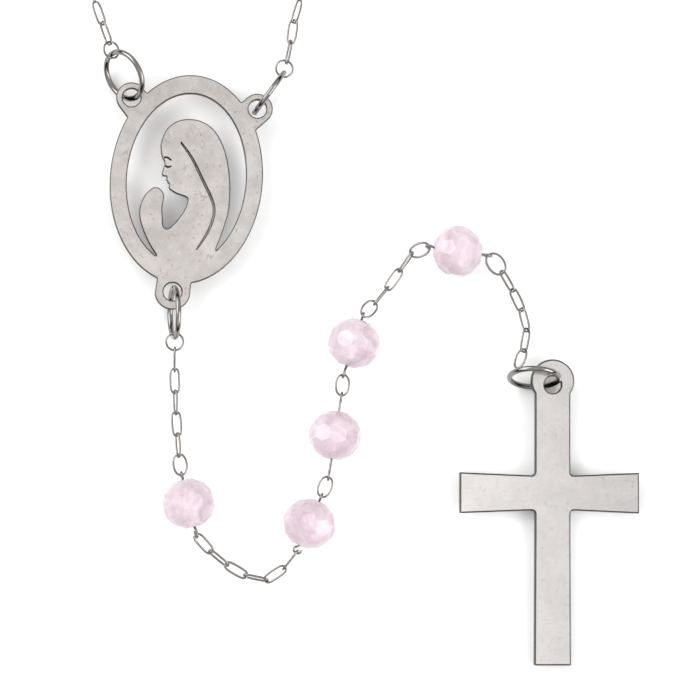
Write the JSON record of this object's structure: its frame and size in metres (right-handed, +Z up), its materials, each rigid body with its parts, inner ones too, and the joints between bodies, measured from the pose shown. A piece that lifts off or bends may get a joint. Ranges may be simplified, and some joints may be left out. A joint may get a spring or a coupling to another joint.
{
  "type": "rosary",
  "caption": "Rosary laid flat: oval cut-out medal with a praying figure, jump rings, a pendant of faceted stone beads on wire links, a plain flat cross, and a loop of decades.",
  "frame": {"origin": "middle of the whole outline, on the surface the rosary lies on", "axes": "+Z up from that surface; +Y from the cross end towards the far end of the loop; +X to the right seen from above"},
  "size_m": [0.2598, 0.4674, 0.0094],
  "materials": {
    "satin_steel": "tumbled satin",
    "polished_steel": "polished",
    "steel_wire": "polished wire",
    "rose_stone": "polished facets, pale rose, slightly milky"
  },
  "bodies": {
    "centre_medal": {"centre_medal": "satin_steel"},
    "left_jump_ring": {"left_jump_ring": "steel_wire"},
    "right_jump_ring": {"right_jump_ring": "steel_wire"},
    "bottom_jump_ring": {"bottom_jump_ring": "steel_wire"},
    "left_strand_round_1": {"left_strand_round_1": "steel_wire"},
    "left_strand_link_1": {"left_strand_link_1": "steel_wire"},
    "left_strand_link_2": {"left_strand_link_2": "steel_wire"},
    "right_strand_round_1": {"right_strand_round_1": "steel_wire"},
    "right_strand_link_1": {"right_strand_link_1": "steel_wire"},
    "right_strand_link_2": {"right_strand_link_2": "steel_wire"},
    "right_strand_link_3": {"right_strand_link_3": "steel_wire"},
    "pendant_round_1": {"pendant_round_1": "steel_wire"},
    "pendant_link_1": {"pendant_link_1": "steel_wire"},
    "pendant_link_2": {"pendant_link_2": "steel_wire"},
    "pendant_link_3": {"pendant_link_3": "steel_wire"},
    "pendant_link_4": {"pendant_link_4": "steel_wire"},
    "pendant_link_5": {"pendant_link_5": "steel_wire"},
    "pendant_oval_1": {"pendant_oval_1": "steel_wire"},
    "pendant_bead_1": {"pendant_bead_1": "rose_stone"},
    "eye_pin_1": {"eye_pin_1": "steel_wire"},
    "pendant_link_6": {"pendant_link_6": "steel_wire"},
    "pendant_link_7": {"pendant_link_7": "steel_wire"},
    "pendant_link_8": {"pendant_link_8": "steel_wire"},
    "pendant_link_9": {"pendant_link_9": "steel_wire"},
    "pendant_link_10": {"pendant_link_10": "steel_wire"},
    "pendant_link_11": {"pendant_link_11": "steel_wire"},
    "pendant_bead_2": {"pendant_bead_2": "rose_stone"},
    "eye_pin_2": {"eye_pin_2": "steel_wire"},
    "pendant_oval_2": {"pendant_oval_2": "steel_wire"},
    "pendant_bead_3": {"pendant_bead_3": "rose_stone"},
    "eye_pin_3": {"eye_pin_3": "steel_wire"},
    "pendant_oval_3": {"pendant_oval_3": "steel_wire"},
    "pendant_bead_4": {"pendant_bead_4": "rose_stone"},
    "eye_pin_4": {"eye_pin_4": "steel_wire"},
    "pendant_oval_4": {"pendant_oval_4": "steel_wire"},
    "pendant_link_12": {"pendant_link_12": "steel_wire"},
    "pendant_link_13": {"pendant_link_13": "steel_wire"},
    "pendant_link_14": {"pendant_link_14": "steel_wire"},
    "pendant_oval_5": {"pendant_oval_5": "steel_wire"},
    "pendant_bead_5": {"pendant_bead_5": "rose_stone"},
    "eye_pin_5": {"eye_pin_5": "steel_wire"},
    "pendant_long_oval_1": {"pendant_long_oval_1": "steel_wire"},
    "pendant_link_15": {"pendant_link_15": "steel_wire"},
    "pendant_link_16": {"pendant_link_16": "steel_wire"},
    "pendant_link_17": {"pendant_link_17": "steel_wire"},
    "pendant_link_18": {"pendant_link_18": "steel_wire"},
    "pendant_oval_6": {"pendant_oval_6": "steel_wire"},
    "cross_jump_ring": {"cross_jump_ring": "steel_wire"},
    "cross": {"cross": "polished_steel"},
    "left_lead_chain": {"left_lead_chain": "steel_wire"},
    "decade_1": {"decade_1": "rose_stone"},
    "single_bead_1": {"single_bead_1": "rose_stone"},
    "decade_2": {"decade_2": "rose_stone"},
    "single_bead_2": {"single_bead_2": "rose_stone"},
    "decade_3": {"decade_3": "rose_stone"},
    "single_bead_3": {"single_bead_3": "rose_stone"},
    "decade_4": {"decade_4": "rose_stone"},
    "single_bead_4": {"single_bead_4": "rose_stone"},
    "decade_5": {"decade_5": "rose_stone"},
    "right_lead_chain": {"right_lead_chain": "steel_wire"}
  },
  "joints": [
    {"name": "bottom_jump_ring_swing", "type": "hinge", "parent": "centre_medal", "child": "bottom_jump_ring", "pos_m": [-0.00712, -0.17553, 0.00299], "axis": [0, 0, 1], "range_deg": [-25, 15]},
    {"name": "left_jump_ring_swing", "type": "hinge", "parent": "centre_medal", "child": "left_jump_ring", "pos_m": [-0.0135, -0.14551, 0.00299], "axis": [0, 0, 1], "range_deg": [0, 25]},
    {"name": "right_jump_ring_swing", "type": "hinge", "parent": "centre_medal", "child": "right_jump_ring", "pos_m": [0.00583, -0.1472, 0.00299], "axis": [0, 0, -1], "range_deg": [0, 25]},
    {"name": "cross_swing", "type": "hinge", "parent": "cross_jump_ring", "child": "cross", "pos_m": [0.05258, -0.18969, 0.00225], "axis": [-1, 0, 0], "range_deg": [0, 30]},
    {"name": "cross_jump_ring_swing", "type": "hinge", "parent": "pendant_oval_6", "child": "cross_jump_ring", "pos_m": [0.04667, -0.18742, 0.00414], "axis": [0, 0, -1], "range_deg": [-20, 20]},
    {"name": "pendant_link_2_swing", "type": "hinge", "parent": "pendant_link_1", "child": "pendant_link_2", "pos_m": [-0.00677, -0.18821, 0.00375], "axis": [0, 0, 1], "range_deg": [-25, 25]},
    {"name": "eye_pin_1_swing", "type": "hinge", "parent": "pendant_oval_1", "child": "eye_pin_1", "pos_m": [-0.00574, -0.2038, 0.004], "axis": [0, 0, -1], "range_deg": [-25, 25]},
    {"name": "pendant_link_8_swing", "type": "hinge", "parent": "pendant_link_7", "child": "pendant_link_8", "pos_m": [0.00162, -0.21822, 0.00233], "axis": [0, 0, 1], "range_deg": [-25, 20]},
    {"name": "eye_pin_2_swing", "type": "hinge", "parent": "pendant_link_11", "child": "eye_pin_2", "pos_m": [0.01235, -0.2159, 0.00412], "axis": [0, 0, 1], "range_deg": [-25, 25]},
    {"name": "eye_pin_3_swing", "type": "hinge", "parent": "pendant_oval_2", "child": "eye_pin_3", "pos_m": [0.01707, -0.20497, 0.00405], "axis": [0, 0, 1], "range_deg": [-25, 25]},
    {"name": "eye_pin_4_swing", "type": "hinge", "parent": "pendant_oval_3", "child": "eye_pin_4", "pos_m": [0.01936, -0.18903, 0.00405], "axis": [0, 0, 1], "range_deg": [-25, 25]},
    {"name": "pendant_link_13_swing", "type": "hinge", "parent": "pendant_link_12", "child": "pendant_link_13", "pos_m": [0.02666, -0.1747, 0.00214], "axis": [0, 0, -1], "range_deg": [-25, 20]},
    {"name": "eye_pin_5_swing", "type": "hinge", "parent": "pendant_oval_5", "child": "eye_pin_5", "pos_m": [0.03242, -0.16844, 0.00405], "axis": [0, 0, 1], "range_deg": [-25, 25]},
    {"name": "pendant_link_16_swing", "type": "hinge", "parent": "pendant_link_15", "child": "pendant_link_16", "pos_m": [0.04618, -0.17535, 0.0031], "axis": [0, 0, -1], "range_deg": [-25, 25]},
    {"name": "left_strand_link_1_swing", "type": "hinge", "parent": "left_strand_round_1", "child": "left_strand_link_1", "pos_m": [-0.01706, -0.13698, 0.004], "axis": [0.9397, 0.342, 0], "range_deg": [0, 25]},
    {"name": "right_strand_link_2_swing", "type": "hinge", "parent": "right_strand_link_1", "child": "right_strand_link_2", "pos_m": [0.01119, -0.13656, 0.00459], "axis": [0.9903, -0.1392, 0], "range_deg": [0, 25]},
    {"name": "left_lead_chain_lift", "type": "hinge", "parent": "left_strand_link_2", "child": "left_lead_chain", "pos_m": [-0.01943, -0.13027, 0.00365], "axis": [0.9196, 0.3928, 0], "range_deg": [0, 20]},
    {"name": "decade_1_lift", "type": "hinge", "parent": "left_lead_chain", "child": "decade_1", "pos_m": [-0.0227, -0.12213, 0.00375], "axis": [0.9326, 0.3608, 0], "range_deg": [0, 20]},
    {"name": "single_bead_1_lift", "type": "hinge", "parent": "decade_1", "child": "single_bead_1", "pos_m": [-0.10543, 0.0112, 0.00395], "axis": [0.8984, 0.4393, 0], "range_deg": [0, 20]},
    {"name": "decade_2_lift", "type": "hinge", "parent": "single_bead_1", "child": "decade_2", "pos_m": [-0.11621, 0.03835, 0.00395], "axis": [0.9486, 0.3164, 0], "range_deg": [0, 20]},
    {"name": "single_bead_2_lift", "type": "hinge", "parent": "decade_2", "child": "single_bead_2", "pos_m": [-0.09374, 0.18701, 0.00395], "axis": [0.7566, -0.6539, 0], "range_deg": [0, 20]},
    {"name": "decade_3_lift", "type": "hinge", "parent": "single_bead_2", "child": "decade_3", "pos_m": [-0.07247, 0.207, 0.00395], "axis": [0.6043, -0.7968, 0], "range_deg": [0, 20]},
    {"name": "right_lead_chain_lift", "type": "hinge", "parent": "right_strand_link_3", "child": "right_lead_chain", "pos_m": [0.01276, -0.12966, 0.00389], "axis": [0.8813, -0.4725, 0], "range_deg": [0, 20]},
    {"name": "decade_5_lift", "type": "hinge", "parent": "right_lead_chain", "child": "decade_5", "pos_m": [0.01679, -0.12188, 0.00391], "axis": [0.8913, -0.4533, 0], "range_deg": [0, 20]},
    {"name": "single_bead_4_lift", "type": "hinge", "parent": "decade_5", "child": "single_bead_4", "pos_m": [0.10332, 0.00925, 0.00395], "axis": [0.8867, -0.4623, 0], "range_deg": [0, 20]},
    {"name": "decade_4_lift", "type": "hinge", "parent": "single_bead_4", "child": "decade_4", "pos_m": [0.11471, 0.03614, 0.00395], "axis": [0.9411, -0.3382, 0], "range_deg": [0, 20]},
    {"name": "single_bead_3_lift", "type": "hinge", "parent": "decade_4", "child": "single_bead_3", "pos_m": [0.09531, 0.18511, 0.00395], "axis": [0.7683, 0.6401, 0], "range_deg": [0, 20]},
    {"name": "left_strand_round_1_swing", "type": "hinge", "parent": "left_jump_ring", "child": "left_strand_round_1", "pos_m": [-0.01653, -0.13912, 0.004], "axis": [0.9703, 0.2419, 0], "range_deg": [0, 25]},
    {"name": "left_strand_link_2_swing", "type": "hinge", "parent": "left_strand_link_1", "child": "left_strand_link_2", "pos_m": [-0.0182, -0.13385, 0.00382], "axis": [0.9455, 0.3256, 0], "range_deg": [0, 25]},
    {"name": "right_strand_round_1_swing", "type": "hinge", "parent": "right_jump_ring", "child": "right_strand_round_1", "pos_m": [0.00978, -0.14189, 0.00509], "axis": [0.9455, -0.3256, 0], "range_deg": [0, 25]},
    {"name": "right_strand_link_1_swing", "type": "hinge", "parent": "right_strand_round_1", "child": "right_strand_link_1", "pos_m": [0.0105, -0.13981, 0.00494], "axis": [0.9781, -0.2079, 0], "range_deg": [0, 25]},
    {"name": "right_strand_link_3_swing", "type": "hinge", "parent": "right_strand_link_2", "child": "right_strand_link_3", "pos_m": [0.01165, -0.13327, 0.00424], "axis": [0.9563, -0.2924, 0], "range_deg": [0, 25]},
    {"name": "pendant_round_1_swing", "type": "hinge", "parent": "bottom_jump_ring", "child": "pendant_round_1", "pos_m": [-0.0068, -0.18298, 0.00437], "axis": [0, 0, 1], "range_deg": [-25, 25]},
    {"name": "pendant_link_1_swing", "type": "hinge", "parent": "pendant_round_1", "child": "pendant_link_1", "pos_m": [-0.00677, -0.18448, 0.00441], "axis": [0, 0, -1], "range_deg": [-25, 25]},
    {"name": "pendant_link_3_swing", "type": "hinge", "parent": "pendant_link_2", "child": "pendant_link_3", "pos_m": [-0.00666, -0.19108, 0.00333], "axis": [0, 0, -1], "range_deg": [-25, 25]},
    {"name": "pendant_link_4_swing", "type": "hinge", "parent": "pendant_link_3", "child": "pendant_link_4", "pos_m": [-0.00653, -0.19485, 0.0032], "axis": [0, 0, 1], "range_deg": [-25, 25]},
    {"name": "pendant_link_5_swing", "type": "hinge", "parent": "pendant_link_4", "child": "pendant_link_5", "pos_m": [-0.00632, -0.19774, 0.00335], "axis": [0, 0, -1], "range_deg": [-25, 25]},
    {"name": "pendant_oval_1_swing", "type": "hinge", "parent": "pendant_link_5", "child": "pendant_oval_1", "pos_m": [-0.00606, -0.20148, 0.00388], "axis": [0, 0, 1], "range_deg": [-25, 25]},
    {"name": "pendant_link_6_swing", "type": "hinge", "parent": "eye_pin_1", "child": "pendant_link_6", "pos_m": [-0.00322, -0.21391, 0.004], "axis": [0, 0, 1], "range_deg": [-25, 25]},
    {"name": "pendant_link_7_swing", "type": "hinge", "parent": "pendant_link_6", "child": "pendant_link_7", "pos_m": [-0.00126, -0.21589, 0.00312], "axis": [0, 0, -1], "range_deg": [-25, 25]},
    {"name": "pendant_link_9_swing", "type": "hinge", "parent": "pendant_link_8", "child": "pendant_link_9", "pos_m": [0.00412, -0.21971, 0.00213], "axis": [0, 0, -1], "range_deg": [-20, 25]},
    {"name": "pendant_link_10_swing", "type": "hinge", "parent": "pendant_link_9", "child": "pendant_link_10", "pos_m": [0.00781, -0.22049, 0.0024], "axis": [0, 0, 1], "range_deg": [-25, 25]},
    {"name": "pendant_link_11_swing", "type": "hinge", "parent": "pendant_link_10", "child": "pendant_link_11", "pos_m": [0.01018, -0.21879, 0.00301], "axis": [0, 0, -1], "range_deg": [-25, 25]},
    {"name": "pendant_oval_2_swing", "type": "hinge", "parent": "eye_pin_2", "child": "pendant_oval_2", "pos_m": [0.01621, -0.20712, 0.00405], "axis": [0, 0, -1], "range_deg": [-25, 25]},
    {"name": "pendant_oval_3_swing", "type": "hinge", "parent": "eye_pin_3", "child": "pendant_oval_3", "pos_m": [0.01923, -0.19135, 0.00405], "axis": [0, 0, -1], "range_deg": [-25, 25]},
    {"name": "pendant_oval_4_swing", "type": "hinge", "parent": "eye_pin_4", "child": "pendant_oval_4", "pos_m": [0.02265, -0.17892, 0.00405], "axis": [0, 0, -1], "range_deg": [-25, 20]},
    {"name": "pendant_link_12_swing", "type": "hinge", "parent": "pendant_oval_4", "child": "pendant_link_12", "pos_m": [0.0243, -0.17751, 0.00306], "axis": [0, 0, 1], "range_deg": [-25, 25]},
    {"name": "pendant_link_14_swing", "type": "hinge", "parent": "pendant_link_13", "child": "pendant_link_14", "pos_m": [0.02832, -0.17231, 0.00214], "axis": [0, 0, 1], "range_deg": [-25, 25]},
    {"name": "pendant_oval_5_swing", "type": "hinge", "parent": "pendant_link_14", "child": "pendant_oval_5", "pos_m": [0.03037, -0.16926, 0.00306], "axis": [0, 0, -1], "range_deg": [-25, 25]},
    {"name": "pendant_long_oval_1_swing", "type": "hinge", "parent": "eye_pin_5", "child": "pendant_long_oval_1", "pos_m": [0.04265, -0.16987, 0.00405], "axis": [0, 0, -1], "range_deg": [-25, 15]},
    {"name": "pendant_link_15_swing", "type": "hinge", "parent": "pendant_long_oval_1", "child": "pendant_link_15", "pos_m": [0.04426, -0.17216, 0.00376], "axis": [0, 0, 1], "range_deg": [-25, 25]},
    {"name": "pendant_link_17_swing", "type": "hinge", "parent": "pendant_link_16", "child": "pendant_link_17", "pos_m": [0.04747, -0.17794, 0.00277], "axis": [0, 0, 1], "range_deg": [-25, 25]},
    {"name": "pendant_link_18_swing", "type": "hinge", "parent": "pendant_link_17", "child": "pendant_link_18", "pos_m": [0.04838, -0.18159, 0.00316], "axis": [0, 0, -1], "range_deg": [-25, 25]},
    {"name": "pendant_oval_6_swing", "type": "hinge", "parent": "pendant_link_18", "child": "pendant_oval_6", "pos_m": [0.04771, -0.18439, 0.00369], "axis": [0, 0, 1], "range_deg": [-25, 25]},
    {"name": "pendant_bead_1_spin", "type": "hinge", "parent": "eye_pin_1", "child": "pendant_bead_1", "pos_m": [-0.00454, -0.20864, 0.004], "axis": [0.2419, -0.9703, 0], "continuous": true},
    {"name": "pendant_bead_2_spin", "type": "hinge", "parent": "eye_pin_2", "child": "pendant_bead_2", "pos_m": [0.01416, -0.21173, 0.00405], "axis": [0.4067, 0.9135, 0], "continuous": true},
    {"name": "pendant_bead_3_spin", "type": "hinge", "parent": "eye_pin_3", "child": "pendant_bead_3", "pos_m": [0.01818, -0.19801, 0.00405], "axis": [0.1564, 0.9877, 0], "continuous": true},
    {"name": "pendant_bead_4_spin", "type": "hinge", "parent": "eye_pin_4", "child": "pendant_bead_4", "pos_m": [0.02111, -0.18367, 0.00405], "axis": [0.309, 0.9511, 0], "continuous": true},
    {"name": "pendant_bead_5_spin", "type": "hinge", "parent": "eye_pin_5", "child": "pendant_bead_5", "pos_m": [0.03736, -0.16913, 0.00405], "axis": [0.9903, -0.1392, 0], "continuous": true}
  ]
}
